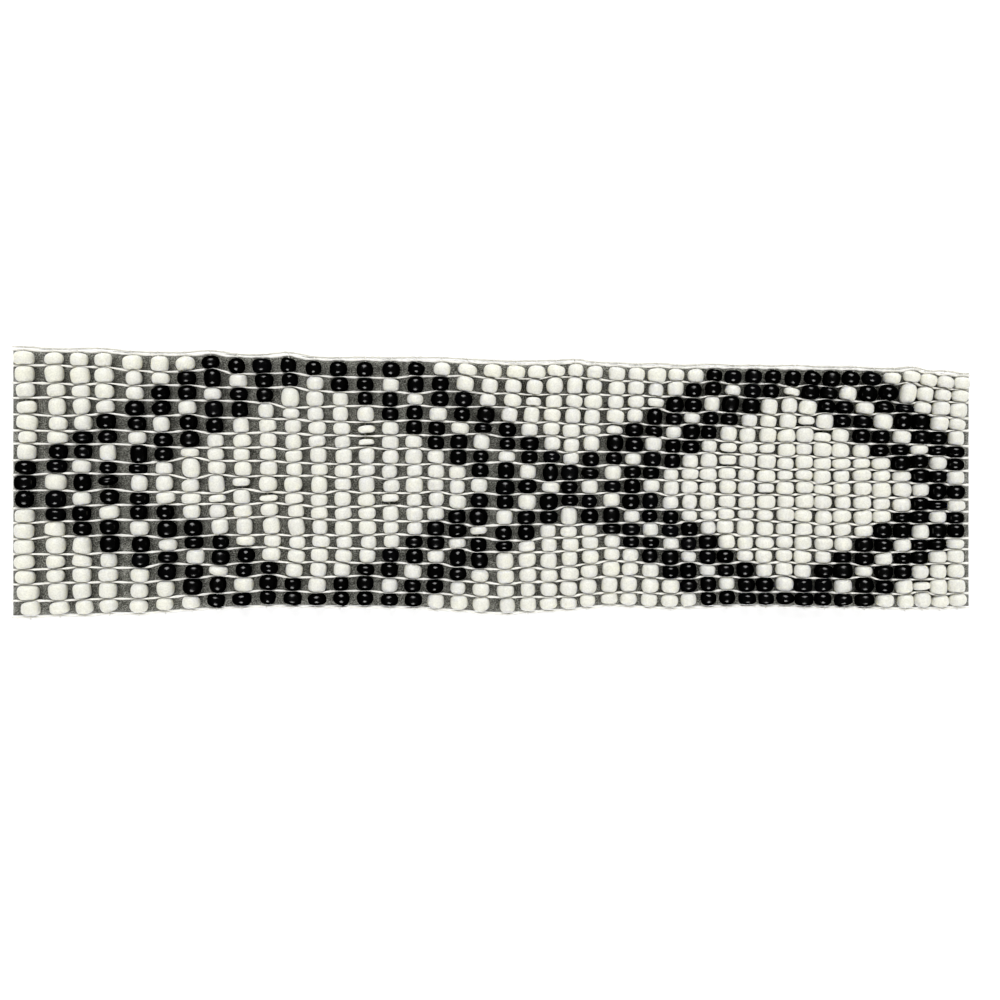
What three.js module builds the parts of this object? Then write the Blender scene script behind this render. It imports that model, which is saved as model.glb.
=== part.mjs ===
// A loom-woven beaded belt, lying flat with its beads up.
// X runs along the belt, Y across it and Z up; all lengths are in millimetres.
// Strings of seed beads lie side by side across a thin lining, each string as a plain tube
// with the outer form of its beads.

import * as THREE from "three";

// Driving sizes
const STRING_COUNT = 43;
const BEADS_PER_STRING = 17;
const BEAD_DIAMETER = 2.1;
const BEAD_LENGTH = 1.62;
const BEAD_SPACING = 0.23; // between two beads of a string, where a warp thread passes
const WIDE_GAP = 1.9; // between two strings where the weave is loosest
const LINING_THICKNESS = 1.2;
const LINING_SIDE_MARGIN = 0.3; // past the ends of the strings
const LINING_END_MARGIN = 0.5; // past the first and the last string
const SEAT_CLEARANCE = 0.3; // under each string

// Fineness of the tubes
const TUBE_SIDES = 10;
const DIAMETERS_PER_STEP = 2.5;

// What follows from them
const BELT_HALF_WIDTH = (BEADS_PER_STRING * (BEAD_LENGTH + BEAD_SPACING)) / 2;
const STRING_DIGITS = String(STRING_COUNT).length;

// The hand-made unevenness of the weave, from the first string to the last.
// gap: between the strings from this row to the next, as a share of WIDE_GAP
// girth: of the string's beads, as a share of BEAD_DIAMETER
// leanTop, leanBottom: how far the string's ends stand off its middle along X, of WIDE_GAP
// top, bottom: how far the string reaches from the middle line, of BELT_HALF_WIDTH
const SECTIONS = [
  { string: 1, gap: 0.91, girth: 1.08, leanTop: -0.14, leanBottom: 0.44, top: 1.13, bottom: 1.04 },
  { string: 2, gap: 0.63, girth: 1.05, leanTop: -0.24, leanBottom: 0.33, top: 1.12, bottom: 1.03 },
  { string: 4, gap: 1.0, girth: 1.03, leanTop: -0.44, leanBottom: 0.11, top: 1.11, bottom: 1.02 },
  { string: 5, gap: 0.66, girth: 1.02, leanTop: -0.55, leanBottom: 0.0, top: 1.09, bottom: 1.02 },
  { string: 7, gap: 0.62, girth: 1.01, leanTop: -0.46, leanBottom: 0.03, top: 1.08, bottom: 0.99 },
  { string: 10, gap: 0.6, girth: 0.99, leanTop: -0.26, leanBottom: -0.05, top: 1.07, bottom: 0.96 },
  { string: 13, gap: 0.58, girth: 0.97, leanTop: -0.1, leanBottom: -0.07, top: 1.05, bottom: 0.97 },
  { string: 16, gap: 0.43, girth: 0.95, leanTop: 0.24, leanBottom: 0.12, top: 1.04, bottom: 0.97 },
  { string: 19, gap: 0.71, girth: 0.95, leanTop: 1.01, leanBottom: 0.34, top: 1.01, bottom: 1.01 },
  { string: 20, gap: 0.49, girth: 0.95, leanTop: 0.83, leanBottom: 0.21, top: 1.0, bottom: 1.02 },
  { string: 22, gap: 0.32, girth: 0.94, leanTop: 0.48, leanBottom: -0.07, top: 1.0, bottom: 1.0 },
  { string: 24, gap: 0.55, girth: 0.94, leanTop: 0.43, leanBottom: -0.11, top: 0.99, bottom: 0.97 },
  { string: 25, gap: 0.34, girth: 0.94, leanTop: 0.41, leanBottom: -0.14, top: 0.99, bottom: 0.95 },
  { string: 28, gap: 0.24, girth: 0.93, leanTop: 0.43, leanBottom: -0.04, top: 0.98, bottom: 0.98 },
  { string: 31, gap: 0.29, girth: 0.93, leanTop: 0.49, leanBottom: -0.02, top: 0.98, bottom: 0.96 },
  { string: 34, gap: 0.24, girth: 0.95, leanTop: 0.62, leanBottom: -0.01, top: 0.97, bottom: 0.96 },
  { string: 37, gap: 0.29, girth: 0.95, leanTop: 0.85, leanBottom: 0.12, top: 0.96, bottom: 0.97 },
  { string: 40, gap: 0.19, girth: 0.95, leanTop: 0.87, leanBottom: 0.25, top: 0.94, bottom: 0.98 },
  { string: 43, gap: 0.19, girth: 0.95, leanTop: 0.5, leanBottom: 0.14, top: 0.91, bottom: 0.97 },
];

const beadGlass = new THREE.MeshStandardMaterial({ color: 0xededdf, roughness: 0.35, metalness: 0 });
const greyFelt = new THREE.MeshStandardMaterial({ color: 0x5c5c56, roughness: 0.95, metalness: 0 });

// The weave at one string: each column of the table, blended between the rows on either side.
// The gap is not blended, because it holds for every string from its row to the next.
function weaveAt(string) {
  const after = SECTIONS.findIndex((row) => row.string > string);
  const last = after < 0 ? SECTIONS.length - 1 : after;
  const before = SECTIONS[Math.max(last - 1, 0)];
  const next = SECTIONS[last];
  const share = THREE.MathUtils.clamp((string - before.string) / (next.string - before.string), 0, 1);
  const blend = (column) => THREE.MathUtils.lerp(before[column], next[column], share);
  return {
    gap: before.gap * WIDE_GAP,
    radius: (blend("girth") * BEAD_DIAMETER) / 2,
    leanTop: blend("leanTop") * WIDE_GAP,
    leanBottom: blend("leanBottom") * WIDE_GAP,
    top: blend("top") * BELT_HALF_WIDTH,
    bottom: -blend("bottom") * BELT_HALF_WIDTH,
  };
}

// Every string in its place along the belt: one radius, a gap and the next radius on from the last.
function layStrings() {
  const strings = [];
  let x = 0;
  for (let number = 1; number <= STRING_COUNT; number += 1) {
    const weave = weaveAt(number);
    if (number > 1) x += strings.at(-1).gap + strings.at(-1).radius + weave.radius;
    strings.push({ ...weave, number, x, z: LINING_THICKNESS + SEAT_CLEARANCE + weave.radius });
  }
  return strings;
}

// A string's centre line: a parabola from its top end, through its middle, to its bottom end.
function centreLine({ x, z, leanTop, leanBottom, top, bottom }) {
  const ends = [new THREE.Vector3(x + leanTop, top, z), new THREE.Vector3(x + leanBottom, bottom, z)];
  const bend = new THREE.Vector3(x - (leanTop + leanBottom) / 2, (top + bottom) / 2, z);
  return new THREE.QuadraticBezierCurve3(ends[0], bend, ends[1]);
}

function roundSection(radius) {
  const section = new THREE.Shape();
  for (let side = 0; side < TUBE_SIDES; side += 1) {
    const angle = (2 * Math.PI * side) / TUBE_SIDES;
    const [u, v] = [radius * Math.cos(angle), radius * Math.sin(angle)];
    if (side === 0) section.moveTo(u, v);
    else section.lineTo(u, v);
  }
  section.closePath();
  return section;
}

function beadString(string) {
  const path = centreLine(string);
  const steps = Math.round((string.top - string.bottom) / (DIAMETERS_PER_STEP * 2 * string.radius));
  const geometry = new THREE.ExtrudeGeometry(roundSection(string.radius), { steps, extrudePath: path });
  const mesh = new THREE.Mesh(geometry, beadGlass);
  mesh.name = `bead_string_${String(string.number).padStart(STRING_DIGITS, "0")}`;
  return mesh;
}

// The lining's edges follow the ends of the strings, and its own two ends are cut straight.
function lining(strings) {
  const first = strings[0];
  const last = strings.at(-1);
  const left = first.x + Math.min(0, first.leanTop, first.leanBottom) - first.radius - LINING_END_MARGIN;
  const right = last.x + Math.max(0, last.leanTop, last.leanBottom) + last.radius + LINING_END_MARGIN;
  const topEdge = strings.map((s) => [s.x + s.leanTop, s.top + LINING_SIDE_MARGIN]);
  const bottomEdge = strings.map((s) => [s.x + s.leanBottom, s.bottom - LINING_SIDE_MARGIN]);
  const outline = new THREE.Shape(
    [
      [left, bottomEdge[0][1]],
      ...bottomEdge,
      [right, bottomEdge.at(-1)[1]],
      [right, topEdge.at(-1)[1]],
      ...topEdge.reverse(),
      [left, topEdge.at(-1)[1]],
    ].map(([x, y]) => new THREE.Vector2(x, y)),
  );
  const geometry = new THREE.ExtrudeGeometry(outline, { depth: LINING_THICKNESS, bevelEnabled: false });
  const mesh = new THREE.Mesh(geometry, greyFelt);
  mesh.name = "lining";
  return mesh;
}

const strings = layStrings();
const belt = new THREE.Group();
belt.add(lining(strings), ...strings.map(beadString));

// The origin is under the middle of the belt, on the surface it lies on.
const middle = new THREE.Box3().setFromObject(belt).getCenter(new THREE.Vector3());
belt.position.set(-middle.x, -middle.y, 0);

export default belt;
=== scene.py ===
import math

import bpy
import numpy as np
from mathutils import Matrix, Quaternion, Vector


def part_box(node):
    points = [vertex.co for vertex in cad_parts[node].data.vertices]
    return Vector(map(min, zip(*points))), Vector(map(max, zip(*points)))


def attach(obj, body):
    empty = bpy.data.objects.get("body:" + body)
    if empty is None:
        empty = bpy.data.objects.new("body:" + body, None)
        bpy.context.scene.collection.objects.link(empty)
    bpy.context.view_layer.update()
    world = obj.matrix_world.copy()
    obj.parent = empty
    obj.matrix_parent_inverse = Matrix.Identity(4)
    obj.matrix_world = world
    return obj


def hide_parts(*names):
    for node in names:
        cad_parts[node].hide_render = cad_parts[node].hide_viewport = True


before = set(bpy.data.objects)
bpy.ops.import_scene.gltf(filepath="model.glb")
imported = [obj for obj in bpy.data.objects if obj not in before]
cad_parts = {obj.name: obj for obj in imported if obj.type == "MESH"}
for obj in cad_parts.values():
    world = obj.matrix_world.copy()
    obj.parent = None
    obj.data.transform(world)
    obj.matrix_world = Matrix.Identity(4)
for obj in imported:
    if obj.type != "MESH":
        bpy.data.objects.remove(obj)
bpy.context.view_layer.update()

# A loom-woven beaded belt, lying flat with its beads up. Every string of seed beads follows its tube
# in the frame; the warp threads run along the belt between the rows of beads, and the weft thread
# goes through the beads. Lengths are in metres, and MM turns a size in millimetres into metres.
MM = 0.001
SEED = 17

# Pattern: black steps, by how many rows farther they are from the middle row than their string is
# from the cross, and one black bead more, by its strings from the cross and rows from the middle
ROWS = 17
MIDDLE_ROW = (ROWS + 1) // 2
REPEAT = 22
BLACK_STEPS = (-3, -2, 0, 1)
BLACK_TIP = (9, 8)

# Beads: the room between two of a string, the power of their rounding, which is 2 for an ellipse and
# less for black beads by BLACK_ROUNDER, and how far their tints differ, of the whole ramp of colours
BEAD_SPACING = 0.1 * MM
HOLE_RADIUS = 0.4 * MM
SQUARENESS = (2.3, 3.4)
BLACK_ROUNDER = 0.2
TINT_SPREAD = 0.17

# Threads, each of two twisted plies; PLY_DEPTH is how deep the groove between the plies is, as a
# share of the radius, and WARP_BLEND is over how many points a warp's unevenness is blended
PLY_DEPTH = 0.12
WARP_RADIUS = 0.17 * MM
WARP_TWIST = 1.6 * MM
WARP_UNEVENNESS = 0.06
WARP_BLEND = 7
WEFT_RADIUS = 0.05 * MM
WEFT_TWIST = 1.0 * MM
EDGE_RADIUS = 0.11 * MM
EDGE_TWIST = 1.4 * MM
# Where the beads hold and squeeze a warp, as shares of their radius, and how much it spreads there
HELD_SHARE = 0.55
SQUEEZED_SHARE = 0.6
PINCHED_SPREAD = 5.8
# The strand along the top edge: how far outside the first warp, how far below the beads' middle, and
# how it wanders, as a share of its radius
EDGE_GAP = 0.08 * MM
EDGE_SINK = 0.1 * MM
EDGE_WANDER = 0.4
# The weft: the share of its radius that it stands off the warps, and how far it goes aside at the top
WEFT_SNUG = 0.6
WEFT_ASIDE = 0.1 * MM
# How far the warps and the edge strand end before the felt does
THREADS_SHORT = 0.55 * MM

# Lining
FELT_PAST_TOP = 0.54 * MM
FELT_PAST_BOTTOM = 0.12 * MM
FELT_PAST_LEFT = 0.42 * MM
FELT_STEP = 0.3 * MM
FELT_ROUNDING = 0.3 * MM
FELT_UNEVENNESS = 0.03 * MM

# Beads that the picture shows much shorter than the rest, by (string, row), with their lengths in
# millimetres; the few that are much longer, which take TALL_SHARE of their room; and greyer ones
THIN_BEADS = {
    (1, 4): 1.6, (4, 9): 1.2, (8, 10): 0.95, (9, 9): 1.1, (9, 13): 1.2, (10, 10): 0.85, (14, 5): 0.97,
    (14, 6): 0.72, (15, 10): 1.0, (19, 5): 1.1, (19, 12): 1.0, (21, 3): 1.1, (24, 8): 1.2, (25, 5): 1.1,
    (27, 3): 1.1, (31, 6): 1.2, (31, 7): 1.2, (33, 6): 1.2, (33, 9): 1.2, (34, 2): 0.9, (34, 8): 1.2,
    (35, 4): 1.1, (36, 5): 1.2, (41, 16): 1.0,
}
TALL_BEADS = [(7, 8), (11, 3), (40, 2)]
TALL_SHARE = 1.3
GREY_BEADS = [(17, 9), (26, 9)]
GREY_TINT = -3

# Where the weave bulges: string, row, how many strings and rows around, millimetres right and up
BULGES = [
    (2.0, 5.0, 2.5, 3.0, 0.5, 0),
    (1.5, 15.0, 2.5, 3.0, -0.35, 0),
    (11.0, 13.0, 5.0, 2.3, 0.6, 0),
    (24.0, 13.5, 1.6, 3.0, 0.4, 0),
    (38.5, 4.5, 5.0, 3.5, -0.65, 0),
    (38.5, 13.5, 2.5, 3.0, 0.42, 0),
    (11.0, 4.5, 4.5, 3.5, 0, -0.38),
    (34.5, 5.5, 4.5, 3.5, 0, -0.5),
    (3.0, 15.5, 4.0, 3.0, 0, -0.25),
    (23.5, 14.5, 2.5, 3.0, 0, -0.22),
    (23.0, 1.5, 1.5, 2.0, 0, 0.4),
    (20.0, 8.0, 1.8, 2.5, 0, 0.4),
    (14.0, 11.0, 2.5, 3.0, 0, -0.2),
    (8.0, 0.5, 0.6, 1.5, 0, 0.35),
    (11.0, 0.5, 0.6, 1.5, 0, 0.4),
    (40.0, 0.5, 0.7, 1.5, 0, 0.3),
]

# How uneven the hand-made weave is: the rows, the strings' middles, and the single beads. A reach is
# over how many strings or rows a wander is blended, EDGE_CALM is the share of it that is left along
# the edges, and LENGTH_PLAY is the most that a bead is shorter than its room.
ROW_WANDER = 0.1 * MM
ROW_REACH = 4
ROW_JITTER = 0.09 * MM
EDGE_CALM = 0.3
SIDE_WANDER = 0.1 * MM
SIDE_REACH = 4
SIDE_JITTER = 0.04 * MM
LENGTH_PLAY = 0.06 * MM
GIRTH_SPREAD = 0.055
GIRTH_LIMIT = 0.11
TILT_SPREAD = math.radians(2.5)
OVAL_SPREAD = 0.02
TAPER_SPREAD = 0.03
# The slant of a bead's cut ends, full on beads of a certain length and more
SLANT_SPREAD = 0.07
FULL_SLANT_LENGTH = 1.5 * MM

# The beads' girth as a share of their string's tube in the frame, at some strings along the belt,
# and how much wider the black beads are
GIRTH_STRINGS = (1, 4, 12, 18, 33, 35)
GIRTH_SHARES = (1.11, 1.05, 1.06, 1.09, 1.09, 1.11)
BLACK_GIRTH = 1.03

# Colours of the threads, dark and light
THREAD_COLOURS = {
    "white_thread": ((0.86, 0.84, 0.74), (0.95, 0.94, 0.91)),
    # Painted shade: the weft where it runs inside the beads, a darker copy of the white thread
    "painted_shade_thread": ((0.36, 0.36, 0.31), (0.5, 0.5, 0.45)),
    # The edge strand: partly its own beige tint, partly painted shade along its sides, darker than the
    # white thread
    "edge_thread": ((0.54, 0.53, 0.45), (0.71, 0.7, 0.62)),
}

# Fineness of the meshes
BEAD_PROFILE = 14
BEAD_SIDES = 20
THREAD_SIDES = 8
WARP_STEPS = 5
EDGE_STEPS = 8
WEFT_STEPS = 3

# Camera: straight above, as far as the slant of the outer beads in the picture shows; SENSOR is in
# millimetres, as Blender has it
PICTURE_WIDTH = 130 * MM
CAMERA_HEIGHT = 150 * MM
CAMERA_X = 0.98 * MM
CAMERA_Y = -2.25 * MM
SENSOR = 36.0
CLIP_START, CLIP_END = 0.01, 20

# Stage
LIGHT_DISTANCE = 1.2
# Soft boxes: name; bearing, elevation and roll in degrees; width and height; power in watts; and
# whether glossy surfaces mirror it
SOFT_BOXES = [
    ("light_top", 90, 40, 45, 0.8, 0.8, 15.2, True),
    ("light_bottom", -90, 40, 45, 0.62, 0.62, 10.4, True),
    ("light_left", 180, 15, 0, 1.4, 0.28, 3.6, False),
    ("light_right", 0, 15, 0, 1.4, 0.28, 3.6, False),
]
FLOOR_SIZE = 2.0
FLOOR_DROP = 0.02 * MM
FLOOR_GLOW = 0.45
WORLD_LIGHT = 0.02
WORLD_SEEN = 1.0

rng = np.random.default_rng(SEED)


def link(name, data):
    made = bpy.data.objects.new(name, data)
    bpy.context.scene.collection.objects.link(made)
    return made


# Camera

def make_camera(focus_height):
    data = bpy.data.cameras.new("camera")
    data.sensor_width = SENSOR
    data.lens = SENSOR * CAMERA_HEIGHT / PICTURE_WIDTH
    data.clip_start = CLIP_START
    data.clip_end = CLIP_END
    camera = link("camera", data)
    camera.location = (CAMERA_X, CAMERA_Y, focus_height + CAMERA_HEIGHT)
    bpy.context.scene.camera = camera


# Meshes from arrays

def make_mesh(name, points, faces, material, tint=None):
    """A smooth mesh from an array of points and a list of arrays of faces, each of one kind."""
    corners = np.concatenate([f.ravel() for f in faces]).astype(np.int32)
    sides = np.concatenate([np.full(len(f), f.shape[1]) for f in faces])
    starts = np.concatenate([[0], np.cumsum(sides)[:-1]]).astype(np.int32)
    mesh = bpy.data.meshes.new(name)
    mesh.vertices.add(len(points))
    mesh.vertices.foreach_set("co", points.astype(np.float32).ravel())
    mesh.loops.add(len(corners))
    mesh.loops.foreach_set("vertex_index", corners)
    mesh.polygons.add(len(sides))
    mesh.polygons.foreach_set("loop_start", starts)
    mesh.polygons.foreach_set("use_smooth", np.ones(len(sides), bool))
    if tint is not None:
        layer = mesh.attributes.new("tint", "FLOAT", "POINT")
        layer.data.foreach_set("value", tint.astype(np.float32))
    mesh.update()
    mesh.validate()
    mesh.materials.append(material)
    return link(name, mesh)


def ring_faces(rings, sides, closed):
    """Quads between rings of points that follow one another, ring first and then round."""
    ring = np.arange(rings if closed else rings - 1)
    side = np.arange(sides)
    a, s = np.meshgrid(ring, side, indexing="ij")
    b, t = (a + 1) % rings, (s + 1) % sides
    quads = np.stack([a * sides + s, b * sides + s, b * sides + t, a * sides + t], axis=-1)
    return quads.reshape(-1, 4)


def smooth_path(points, steps):
    """A Catmull-Rom curve through the points, with so many steps from each to the next."""
    p = np.vstack([2 * points[0] - points[1], points, 2 * points[-1] - points[-2]])
    t = (np.arange(steps) / steps)[None, :, None]
    a, b, c, d = (p[k : len(p) - 3 + k][:, None, :] for k in range(4))
    curve = 0.5 * (
        2 * b + (c - a) * t + (2 * a - 5 * b + 4 * c - d) * t**2 + (3 * b - a - 3 * c + d) * t**3
    )
    return np.vstack([curve.reshape(-1, points.shape[1]), points[-1]])


def thread_mesh(path, radius, twist, pinch=None):
    """Points and faces of a thread of two twisted plies along a path.

    The radius is one for each point, and so is the pinch, which narrows the thread sideways and
    spreads it upwards.
    """
    along = np.gradient(path, axis=0)
    along /= np.linalg.norm(along, axis=1, keepdims=True)
    side = np.empty_like(along)
    side[0] = np.cross((0, 0, 1), along[0])
    for i in range(1, len(path)):
        carried = side[i - 1] - along[i] * np.dot(side[i - 1], along[i])
        side[i] = carried / np.linalg.norm(carried)
    side[0] /= np.linalg.norm(side[0])
    up = np.cross(along, side)
    run = np.concatenate([[0], np.cumsum(np.linalg.norm(np.diff(path, axis=0), axis=1))])
    angle = 2 * np.pi * np.arange(THREAD_SIDES) / THREAD_SIDES
    turned = angle[None, :] - 2 * np.pi * run[:, None] / twist
    reach = radius[:, None] * (1 - PLY_DEPTH + PLY_DEPTH * np.cos(2 * turned))
    pinch = np.ones((len(path), 1)) if pinch is None else pinch[:, None]
    sideways, upwards = reach * pinch, reach * (1 + PINCHED_SPREAD * (1 - pinch))
    rings = (
        path[:, None, :]
        + (sideways * np.cos(angle))[:, :, None] * side[:, None, :]
        + (upwards * np.sin(angle))[:, :, None] * up[:, None, :]
    )
    count = len(path) * THREAD_SIDES
    walls = ring_faces(len(path), THREAD_SIDES, closed=False)[:, ::-1]
    caps = np.array([np.arange(THREAD_SIDES)[::-1], np.arange(count - THREAD_SIDES, count)])
    return rings.reshape(-1, 3), [walls, caps]


# The strings, as the frame has them

def read_string(node):
    """A string's centre line, ends and radius, measured on its tube."""
    points = np.array([v.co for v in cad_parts[node].data.vertices])
    x, y, z = points.T
    line = np.polyfit(y, x, 2)
    return {
        "number": int(node[-2:]),
        "node": node,
        "line": line,
        "top": y.max(),
        "bottom": y.min(),
        "z": (z.min() + z.max()) / 2,
        "radius": np.hypot(x - np.polyval(line, y), z - (z.min() + z.max()) / 2).max(),
    }


def is_black(string, row):
    """The pattern: black steps run up and down the belt and cross, alike after REPEAT strings."""
    half = REPEAT // 2
    from_cross = abs((string - 1 + half) % REPEAT - half)
    from_middle = abs(row - MIDDLE_ROW)
    step = from_middle - from_cross
    return step in BLACK_STEPS or (from_cross, from_middle) == BLACK_TIP


def bulge(number, row, way):
    """How far the weave bulges there, to the right (way 0) or up (way 1)."""
    reach = [((number - b[0]) / b[2]) ** 2 + ((row - b[1]) / b[3]) ** 2 for b in BULGES]
    return sum(b[4 + way] * MM * np.exp(-away) for b, away in zip(BULGES, reach))


def string_x(string, y):
    """Where a string's middle is at y: on the line of its tube, moved by the bulges."""
    row = 0.5 + ROWS * (string["top"] - y) / (string["top"] - string["bottom"])
    return np.polyval(string["line"], y) + bulge(string["number"], row, 0)


def blended_noise(rows, columns, row_reach, column_reach):
    """Random numbers of a spread of 1, each blended with those beside it."""
    loose = rng.normal(size=(rows + row_reach, columns + column_reach))
    shifts = [(a, b) for a in range(row_reach + 1) for b in range(column_reach + 1)]
    return sum(loose[a : rows + a, b : columns + b] for a, b in shifts) / math.sqrt(len(shifts))


def lay_rows(strings):
    """Where each warp crosses each string, from the top edge down, as an array of string by line."""
    share = np.linspace(0, 1, ROWS + 1)
    top = np.array([s["top"] for s in strings])[:, None] + BEAD_SPACING / 2
    bottom = np.array([s["bottom"] for s in strings])[:, None] - BEAD_SPACING / 2
    uneven = ROW_WANDER * blended_noise(len(strings), ROWS + 1, ROW_REACH, 0)
    uneven += ROW_JITTER * rng.normal(size=uneven.shape)
    uneven[:, [0, -1]] *= EDGE_CALM
    numbers = np.array([s["number"] for s in strings])[:, None]
    raised = bulge(numbers, 0.5 + ROWS * share, 1)
    lines = top + (bottom - top) * share + raised + uneven
    for string, row in [*THIN_BEADS, *TALL_BEADS]:
        i = string - 1
        room = lines[i, row - 1] - lines[i, row]
        wanted = THIN_BEADS.get((string, row), 0) * MM + BEAD_SPACING
        spare = (room - wanted) / 4 if (string, row) in THIN_BEADS else room * (1 - TALL_SHARE) / 2
        lines[i, row - 1] -= spare
        lines[i, row] += spare
    return lines


def place_beads(strings, lines):
    """Each bead's place, size and small faults, as a dictionary of arrays of string by row."""
    shape = (len(strings), ROWS)
    numbers = np.arange(1, len(strings) + 1)[:, None]
    room = lines[:, :-1] - lines[:, 1:] - BEAD_SPACING
    length = room - rng.uniform(0, LENGTH_PLAY, shape)
    for (string, row), longest in THIN_BEADS.items():
        length[string - 1, row - 1] = min(length[string - 1, row - 1], longest * MM)
    y = (lines[:, :-1] + lines[:, 1:]) / 2 + rng.uniform(-0.5, 0.5, shape) * (room - length)
    step = 0.5 * MM
    x, ahead = (np.array([string_x(s, at) for s, at in zip(strings, y + far)]) for far in (0, step))
    heading = np.arctan((ahead - x) / step) + rng.normal(size=shape) * TILT_SPREAD
    x += SIDE_WANDER * blended_noise(*shape, SIDE_REACH, SIDE_REACH)
    x += SIDE_JITTER * rng.normal(size=shape)
    black = np.array([[is_black(string, row + 1) for row in range(ROWS)] for string in numbers[:, 0]])
    girth = np.interp(numbers, GIRTH_STRINGS, GIRTH_SHARES) * np.where(black, BLACK_GIRTH, 1)
    girth = girth + np.clip(rng.normal(size=shape) * GIRTH_SPREAD, -GIRTH_LIMIT, GIRTH_LIMIT)
    no_neighbour = np.full(ROWS, np.inf)
    apart = np.vstack([no_neighbour, np.diff(x, axis=0), no_neighbour])
    tube = np.array([s["radius"] for s in strings])[:, None]
    radius = np.minimum(tube * girth, np.minimum(apart[:-1], apart[1:]) / 2)
    tint = rng.normal(size=shape)
    for string, row in GREY_BEADS:
        tint[string - 1, row - 1] = GREY_TINT
    slant = SLANT_SPREAD * np.minimum(length / FULL_SLANT_LENGTH, 1) ** 2
    return {
        "x": x,
        "y": y,
        "z": np.array([s["z"] for s in strings])[:, None] + np.zeros(shape),
        "length": length,
        "radius": radius,
        "heading": heading,
        "black": black,
        "tint": tint,
        "pitch": rng.normal(size=shape) * TILT_SPREAD,
        "squareness": rng.uniform(*SQUARENESS, shape) - BLACK_ROUNDER * black,
        "slant_top": rng.normal(size=shape) * slant,
        "slant_bottom": rng.normal(size=shape) * slant,
        "oval": rng.normal(size=shape) * OVAL_SPREAD,
        "turn": rng.uniform(0, 2 * math.pi, shape),
        "taper": rng.normal(size=shape) * TAPER_SPREAD,
    }


def bead_points(beads):
    """All the beads' points, as an array of string, row, profile step, side and coordinate."""
    b = {name: values[..., None] for name, values in beads.items()}
    radius, half = b["radius"], b["length"] / 2
    widest = np.arccos((HOLE_RADIUS / radius) ** (b["squareness"] / 2))
    theta = widest * np.linspace(-1, 1, BEAD_PROFILE)
    reach = radius * np.cos(theta) ** (2 / b["squareness"])
    along = np.sign(theta) * np.abs(np.sin(theta) / np.sin(widest)) ** (2 / b["squareness"])
    angle = 2 * np.pi * np.arange(BEAD_SIDES) / BEAD_SIDES
    swell = 1 + b["oval"] * np.cos(2 * (angle + b["turn"]))
    taper = 1 + b["taper"] * along
    u = (reach * taper)[..., None] * (np.cos(angle) * swell)[..., None, :]
    w = (reach * taper)[..., None] * (np.sin(angle) * swell)[..., None, :]
    slant = np.where(along > 0, b["slant_top"], b["slant_bottom"]) * along**2
    v = (half * along)[..., None] + slant[..., None] * u
    heading, pitch = beads["heading"], beads["pitch"]
    axis = np.stack([np.sin(heading), np.cos(heading), np.sin(pitch)], axis=-1)
    axis /= np.linalg.norm(axis, axis=-1, keepdims=True)
    across = np.stack([np.cos(heading), -np.sin(heading), np.zeros_like(heading)], axis=-1)
    up = np.cross(across, axis)
    centre = np.stack([beads["x"], beads["y"], beads["z"]], axis=-1)
    spread = [c[..., None] * d[..., None, None, :] for c, d in ((u, across), (v, axis), (w, up))]
    return centre[..., None, None, :] + sum(spread)


def make_beads(strings, beads, white, black):
    """Two pieces for each string, one of each colour of bead."""
    points = bead_points(beads)
    faces = ring_faces(BEAD_PROFILE, BEAD_SIDES, closed=True)
    size = BEAD_PROFILE * BEAD_SIDES
    for i, s in enumerate(strings):
        for colour, material in (("white", white), ("black", black)):
            chosen = np.flatnonzero(beads["black"][i] == (colour == "black"))
            if len(chosen) == 0:
                continue
            several = (np.arange(len(chosen))[:, None, None] * size + faces[None]).reshape(-1, 4)
            tint = np.repeat(beads["tint"][i, chosen], size)
            name = s["node"] + "_" + colour
            piece = make_mesh(name, points[i, chosen].reshape(-1, 3), [several], material, tint)
            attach(piece, "root")
            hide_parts(s["node"])


# Threads

def warp_path(strings, lines, k, ends):
    """One warp thread, from end to end of the belt, between rows k and k + 1 or along an edge."""
    points = []
    for i, s in enumerate(strings):
        y = lines[i, k]
        y += WARP_RADIUS if k == 0 else -WARP_RADIUS if k == ROWS else 0
        x = string_x(s, y)
        hold = HELD_SHARE * s["radius"]
        points += [(x - hold, y, s["z"]), (x + hold, y, s["z"])]
    first, last = points[0], points[-1]
    return np.array([(ends[0], first[1], first[2]), *points, (ends[1], last[1], last[2])])


def smoothed(values, reach, mode):
    """Each value blended evenly with its neighbours, as many as the reach in all."""
    return np.convolve(values, np.ones(reach) / reach, mode=mode)


def make_warps(strings, lines, material, ends):
    """The threads along the belt, squeezed flat where they pass between two beads."""
    centres = np.array([s["line"][2] for s in strings])
    radii = np.array([s["radius"] for s in strings])
    for k in range(ROWS + 1):
        path = smooth_path(warp_path(strings, lines, k, ends), WARP_STEPS)
        nearest = np.abs(path[:, 0][:, None] - centres).argmin(1)
        held = np.abs(path[:, 0] - centres[nearest]) < SQUEEZED_SHARE * radii[nearest]
        between_rows = 0 < k < ROWS
        squeezed = smoothed(held, WARP_STEPS, "same") * between_rows
        loose = rng.normal(size=len(path) + WARP_BLEND - 1)
        uneven = 1 + WARP_UNEVENNESS * WARP_BLEND**0.5 * smoothed(loose, WARP_BLEND, "valid")
        pinch = 1 - (1 - BEAD_SPACING / 2 / WARP_RADIUS) * squeezed
        points, faces = thread_mesh(path, WARP_RADIUS * uneven, WARP_TWIST, pinch)
        piece = make_mesh(f"warp_thread_{k + 1:02d}", points, faces, material)
        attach(piece, "root")


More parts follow.
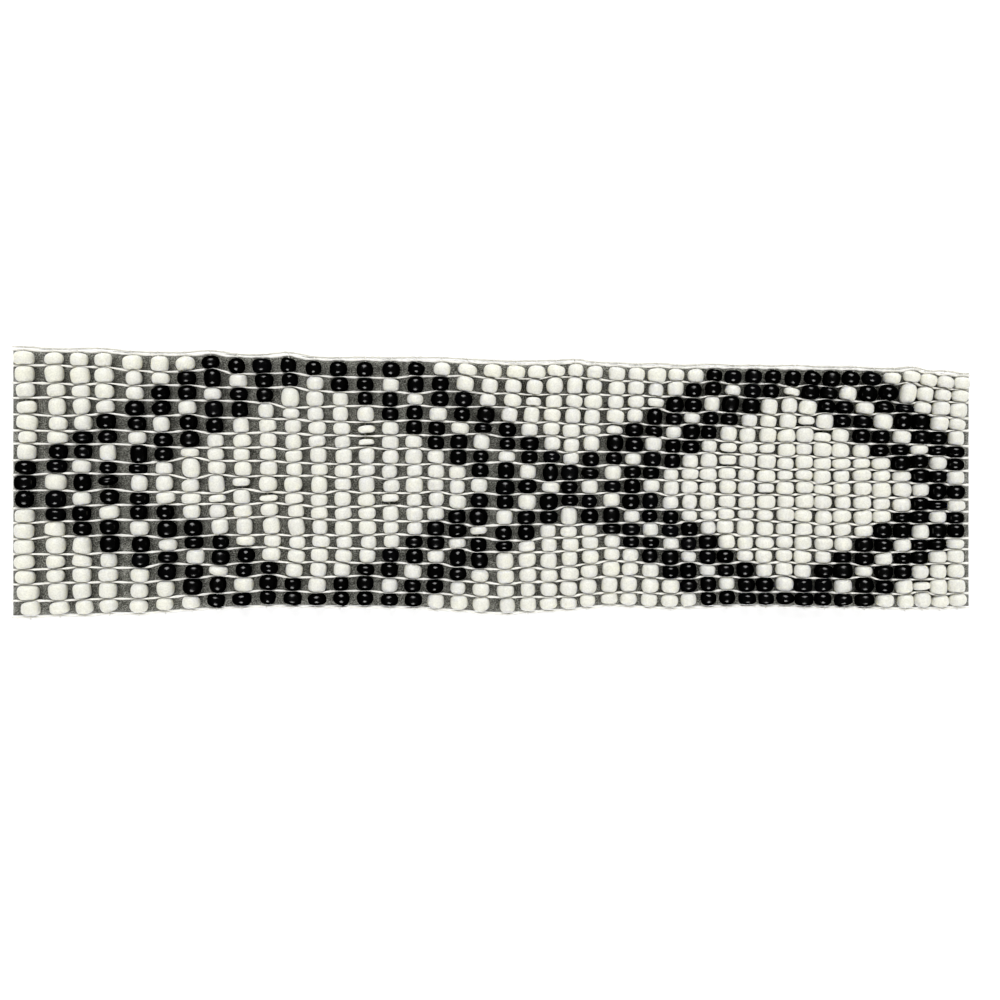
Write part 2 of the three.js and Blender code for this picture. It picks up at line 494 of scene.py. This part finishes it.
def make_edge_thread(strings, lines, material, ends):
    """The second strand along the top edge, a little outside the first warp."""
    route = []
    for i, s in enumerate(strings):
        outwards = EDGE_GAP + EDGE_RADIUS * (1 + EDGE_WANDER * rng.normal())
        y = lines[i, 0] + 2 * WARP_RADIUS + outwards
        route.append((string_x(s, y), y, s["z"] - EDGE_SINK))
    first, last = route[0], route[-1]
    path = smooth_path(np.array([(ends[0], *first[1:]), *route, (ends[1], *last[1:])]), EDGE_STEPS)
    points, faces = thread_mesh(path, np.full(len(path), EDGE_RADIUS), EDGE_TWIST)
    piece = make_mesh("edge_thread", points, faces, material)
    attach(piece, "root")


def weft_path(strings, lines):
    """The weft: down through a string under the warps, back up over them, and on along the top edge.

    With each point comes whether it is outside the beads, past the first or the last row.
    """
    rise = WARP_RADIUS + WEFT_RADIUS * WEFT_SNUG
    past_top = 2 * WARP_RADIUS + EDGE_GAP + 2 * EDGE_RADIUS
    wrap = WARP_RADIUS + WEFT_RADIUS
    path, outside = [], []
    for i, s in enumerate(strings):
        z = s["z"]
        top, bottom = lines[i, 0] + past_top, lines[i, ROWS] - WARP_RADIUS
        inner = [(string_x(s, y), y) for y in lines[i, 1:ROWS]]
        x_top, x_bottom = string_x(s, top), string_x(s, bottom)
        path.append((x_top - WEFT_ASIDE, top, z - rise))
        path += [(x, y, z - rise) for x, y in inner]
        path.append((x_bottom, bottom, z - rise))
        path.append((x_bottom, bottom - wrap, z))
        path.append((x_bottom, bottom, z + rise))
        path += [(x, y, z + rise) for x, y in inner[::-1]]
        path.append((x_top + WEFT_ASIDE, top, z + rise))
        outside += [True] + [False] * len(inner) + [True] * 3 + [False] * len(inner) + [True]
        if i + 1 < len(strings):
            after = lines[i + 1, 0] + past_top
            here = np.array((x_top, top + WEFT_RADIUS, z - EDGE_SINK))
            there = np.array((string_x(strings[i + 1], after), after + WEFT_RADIUS, z - EDGE_SINK))
            path += [here + (there - here) * share for share in (0.25, 0.75)]
            outside += [True, True]
    return np.array(path), np.array(outside)


def make_weft(strings, lines, shaded_inner_material, outer_material):
    """The weft thread, drawn darker where it runs inside the beads as painted shade of the beads, and
    white along the edges.
    """
    path, outside = weft_path(strings, lines)
    path = smooth_path(path, WEFT_STEPS)
    points, faces = thread_mesh(path, np.full(len(path), WEFT_RADIUS), WEFT_TWIST)
    piece = make_mesh("weft_thread", points, faces, shaded_inner_material)
    piece.data.materials.append(outer_material)
    bright = np.repeat(outside[:-1] | outside[1:], WEFT_STEPS * THREAD_SIDES)
    which = np.zeros(len(piece.data.polygons), np.int32)
    which[: len(bright)] = bright
    piece.data.polygons.foreach_set("material_index", which)
    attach(piece, "root")


# Lining

def felt_edge(strings, lines, k, past):
    """An edge of the felt, which follows the ends of the strings at a distance from the warp there."""
    y = lines[:, k] + past
    return np.array([(string_x(s, at), at) for s, at in zip(strings, y)])


def make_lining(strings, lines, material):
    """The felt under the beads, with rounded edges and an uneven surface."""
    low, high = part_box("lining")
    low.x -= FELT_PAST_LEFT
    upper = felt_edge(strings, lines, 0, FELT_PAST_TOP)
    lower = felt_edge(strings, lines, ROWS, -FELT_PAST_BOTTOM)
    xs = np.linspace(low.x, high.x, int((high.x - low.x) / FELT_STEP) + 1)
    shares = np.linspace(0, 1, int((high.y - low.y) / FELT_STEP) + 1)
    top_y, bottom_y = (np.interp(xs, edge[:, 0], edge[:, 1]) for edge in (upper, lower))
    y = bottom_y[:, None] + (top_y - bottom_y)[:, None] * shares[None, :]
    x = np.broadcast_to(xs[:, None], y.shape)
    from_edge = np.minimum.reduce([x - low.x, high.x - x, y - bottom_y[:, None], top_y[:, None] - y])
    beyond_flat = np.maximum(FELT_ROUNDING - from_edge, 0)
    drop = FELT_ROUNDING - np.sqrt(np.maximum(FELT_ROUNDING**2 - beyond_flat**2, 0))
    uneven = rng.normal(size=y.shape) * FELT_UNEVENNESS
    top = np.stack([x, y, high.z - drop - np.abs(uneven)], axis=-1)
    base = np.stack([x, y, np.full(y.shape, low.z)], axis=-1)
    n, m = y.shape
    index = np.arange(n * m).reshape(n, m)
    a, b, c, d = index[:-1, :-1], index[1:, :-1], index[1:, 1:], index[:-1, 1:]
    cap = np.stack([a, b, c, d], axis=-1).reshape(-1, 4)
    rim = np.concatenate([index[:, 0], index[-1, 1:], index[-2::-1, -1], index[0, -2:0:-1]])
    next_rim = np.roll(rim, -1)
    wall = np.stack([rim + n * m, next_rim + n * m, next_rim, rim], axis=-1)
    faces = [np.concatenate([cap, cap[:, ::-1] + n * m, wall])]
    piece = make_mesh("lining_felt", np.concatenate([top, base]).reshape(-1, 3), faces, material)
    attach(piece, "root")
    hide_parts("lining")


# Materials

def new_material(name):
    material = bpy.data.materials.new(name)
    material.use_nodes = True
    nodes = material.node_tree.nodes
    return material, nodes, material.node_tree.links, nodes["Principled BSDF"]


def node(nodes, kind, **values):
    """A shader node with some of its sockets or settings given by name."""
    made = nodes.new("ShaderNode" + kind)
    for key, value in values.items():
        if key in made.inputs:
            made.inputs[key].default_value = value
        else:
            setattr(made, key, value)
    return made


def set_values(shader, **values):
    """Give sockets their numbers and colours by name, with an underscore for each space."""
    for name, value in values.items():
        shader.inputs[name.replace("_", " ")].default_value = value


def noise(nodes, links, scale, detail=2.0, stretch=(1, 1, 1)):
    """Noise in the object's own coordinates; scale is in features for each metre."""
    place = node(nodes, "TexCoord")
    mapping = node(nodes, "Mapping")
    mapping.inputs["Scale"].default_value = stretch
    texture = node(nodes, "TexNoise", Scale=scale, Detail=detail)
    links.new(place.outputs["Object"], mapping.inputs["Vector"])
    links.new(mapping.outputs["Vector"], texture.inputs["Vector"])
    return texture.outputs["Fac"]


def colour_ramp(nodes, links, factor, stops):
    ramp = node(nodes, "ValToRGB")
    elements = ramp.color_ramp.elements
    while len(elements) < len(stops):
        elements.new(0.5)
    for element, (position, colour) in zip(elements, stops):
        element.position = position
        element.color = (*colour, 1)
    links.new(factor, ramp.inputs["Fac"])
    return ramp.outputs["Color"]


def paint(nodes, links, shader, factor, stops):
    """Colour the shader by a ramp."""
    links.new(colour_ramp(nodes, links, factor, stops), shader.inputs["Base Color"])


def bump(nodes, links, shader, height, strength, distance):
    made = node(nodes, "Bump", Strength=strength, Distance=distance)
    links.new(height, made.inputs["Height"])
    links.new(made.outputs["Normal"], shader.inputs["Normal"])


def scaled(nodes, links, value, share, added, clamp=False):
    """The value times a share, plus what is added: a number, or another node's output."""
    made = node(nodes, "Math", operation="MULTIPLY_ADD", use_clamp=clamp)
    made.inputs[1].default_value = share
    links.new(value, made.inputs[0])
    if isinstance(added, float):
        made.inputs[2].default_value = added
    else:
        links.new(added, made.inputs[2])
    return made.outputs["Value"]


def tinted(nodes, links, streaks, weight):
    """The beads' own tint, moved a little by streaks, as a number from 0 to 1."""
    own = node(nodes, "Attribute", attribute_name="tint").outputs["Fac"]
    spread = scaled(nodes, links, own, TINT_SPREAD, 0.5 - weight / 2)
    return scaled(nodes, links, streaks, weight, spread, clamp=True)


def white_glass():
    """Ivory white glass with streaks and fine specks, which lets light through a little."""
    material, nodes, links, shader = new_material("white_glass")
    streaks = noise(nodes, links, scale=900, detail=3.0, stretch=(4, 0.6, 4))
    factor = tinted(nodes, links, streaks, weight=0.35)
    stops = [(0.0, (0.792, 0.785, 0.72)), (0.5, (0.856, 0.848, 0.751)), (1.0, (0.888, 0.873, 0.741))]
    grain = noise(nodes, links, scale=5400, detail=1.0)
    specks = colour_ramp(nodes, links, grain, [(0.36, (0.87, 0.87, 0.87)), (0.64, (1.0, 1.0, 1.0))])
    speckled = node(nodes, "VectorMath", operation="MULTIPLY")
    links.new(colour_ramp(nodes, links, factor, stops), speckled.inputs[0])
    links.new(specks, speckled.inputs[1])
    links.new(speckled.outputs["Vector"], shader.inputs["Base Color"])
    dents = noise(nodes, links, scale=2600, detail=3.0)
    bump(nodes, links, shader, dents, strength=0.5, distance=0.04 * MM)
    set_values(shader, Roughness=0.42, Subsurface_Weight=1.0)
    set_values(shader, Subsurface_Radius=(1.0, 0.98, 0.8), Subsurface_Scale=1.4 * MM)
    return material


def black_glass():
    """Black glass, with painted shade on its sides where reflections fade out at a slant, and duller on
    some beads.
    """
    material, nodes, links, shader = new_material("black_glass")
    streaks = noise(nodes, links, scale=1500, detail=3.0)
    factor = tinted(nodes, links, streaks, weight=0.4)
    blacks = [(0.0003, 0.0003, 0.0003), (0.0008, 0.0008, 0.0007), (0.002, 0.002, 0.0026)]
    paint(nodes, links, shader, factor, list(zip((0.0, 0.6, 1.0), blacks)))
    dents = noise(nodes, links, scale=1300, detail=3.0)
    bump(nodes, links, shader, dents, strength=0.6, distance=0.075 * MM)
    # Painted shade on the sides: reflections fade out where the surface is seen at a slant from the
    # camera
    slant_to_view = node(nodes, "LayerWeight", Blend=0.5)
    shine = node(nodes, "MapRange", interpolation_type="SMOOTHSTEP")
    set_values(shine, From_Min=0.12, From_Max=0.2, To_Min=0.5, To_Max=0.0)
    links.new(slant_to_view.outputs["Facing"], shine.inputs["Value"])
    links.new(shine.outputs["Result"], shader.inputs["Specular IOR Level"])
    dullness = node(nodes, "MapRange")
    set_values(dullness, From_Min=0.36, From_Max=0.64, To_Min=0.11, To_Max=0.25)
    links.new(noise(nodes, links, scale=420, detail=1.0), dullness.inputs["Value"])
    links.new(dullness.outputs["Result"], shader.inputs["Roughness"])
    set_values(shader, IOR=1.47)
    return material


def twisted_thread(name, dark, light):
    """Thread with fine fibres along it, between a dark and a light colour."""
    material, nodes, links, shader = new_material(name)
    fibres = noise(nodes, links, scale=5000, stretch=(0.5, 2, 2))
    paint(nodes, links, shader, fibres, [(0.25, dark), (0.6, light)])
    bump(nodes, links, shader, fibres, strength=0.5, distance=0.03 * MM)
    set_values(shader, Roughness=0.7, Sheen_Weight=0.2)
    return material


def grey_felt():
    """Grey felt of mixed dark and light fibres, a little patchy."""
    material, nodes, links, shader = new_material("grey_felt")
    grain = noise(nodes, links, scale=7500, detail=3.0)
    patches = noise(nodes, links, scale=900)
    mixed = scaled(nodes, links, patches, 0.3, grain)
    stops = [(0.5, (0.026, 0.026, 0.019)), (0.65, (0.123, 0.123, 0.105)), (0.8, (0.42, 0.42, 0.375))]
    paint(nodes, links, shader, mixed, stops)
    bump(nodes, links, shader, grain, strength=0.8, distance=0.08 * MM)
    set_values(shader, Roughness=0.95, Sheen_Weight=0.15)
    return material


def pale_floor():
    """A plain floor, which glows a little to the camera alone."""
    material, nodes, links, shader = new_material("pale_floor")
    stops = [(0.3, (0.9, 0.9, 0.9)), (0.7, (0.92, 0.92, 0.92))]
    paint(nodes, links, shader, noise(nodes, links, scale=40), stops)
    set_values(shader, Roughness=0.9, Emission_Color=(1, 1, 1, 1))
    path = node(nodes, "LightPath")
    glow = node(nodes, "Math", operation="MULTIPLY")
    glow.inputs[1].default_value = FLOOR_GLOW
    links.new(path.outputs["Is Camera Ray"], glow.inputs[0])
    links.new(glow.outputs["Value"], shader.inputs["Emission Strength"])
    return material


# Stage

def make_floor():
    half = FLOOR_SIZE / 2
    corners = np.array([(-half, -half, 0), (half, -half, 0), (half, half, 0), (-half, half, 0)])
    floor = make_mesh("floor", corners, [np.array([[0, 1, 2, 3]])], pale_floor())
    floor.location.z = -FLOOR_DROP


def make_lights():
    for name, bearing, elevation, roll, width, height, power, mirrored in SOFT_BOXES:
        data = bpy.data.lights.new(name, "AREA")
        data.shape = "RECTANGLE"
        data.size, data.size_y = width, height
        data.energy = power
        light = link(name, data)
        light.visible_glossy = mirrored
        bearing, elevation = math.radians(bearing), math.radians(elevation)
        flat = LIGHT_DISTANCE * math.cos(elevation)
        above = LIGHT_DISTANCE * math.sin(elevation)
        light.location = (flat * math.cos(bearing), flat * math.sin(bearing), above)
        aim = Vector(light.location).to_track_quat("Z", "Y")
        light.rotation_euler = (aim @ Quaternion((0, 0, 1), math.radians(roll))).to_euler()


def make_world():
    """A white world, bright to the camera and dim as a light."""
    world = bpy.data.worlds.new("studio")
    bpy.context.scene.world = world
    world.use_nodes = True
    nodes, links = world.node_tree.nodes, world.node_tree.links
    background = nodes["Background"]
    path = node(nodes, "LightPath")
    strength = node(nodes, "MapRange")
    set_values(strength, To_Min=WORLD_LIGHT, To_Max=WORLD_SEEN)
    links.new(path.outputs["Is Camera Ray"], strength.inputs["Value"])
    links.new(strength.outputs["Result"], background.inputs["Strength"])
    set_values(background, Color=(1, 1, 1, 1))
    bpy.context.scene.view_settings.view_transform = "Standard"


strings = [read_string(name) for name in sorted(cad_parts) if name.startswith("bead_string_")]
make_camera(np.mean([s["z"] for s in strings]))
lines = lay_rows(strings)
beads = place_beads(strings, lines)
make_beads(strings, beads, white_glass(), black_glass())
threads = {name: twisted_thread(name, *colours) for name, colours in THREAD_COLOURS.items()}
low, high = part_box("lining")
thread_ends = (low.x - FELT_PAST_LEFT + THREADS_SHORT, high.x - THREADS_SHORT)
make_warps(strings, lines, threads["white_thread"], thread_ends)
# the edge strand's colour is partly its own beige tint and partly painted shade
make_edge_thread(strings, lines, threads["edge_thread"], thread_ends)
# the weft's part inside the beads gets painted shade, a darker copy of the white thread
make_weft(strings, lines, threads["painted_shade_thread"], threads["white_thread"])
make_lining(strings, lines, grey_felt())
make_floor()
make_lights()
make_world()
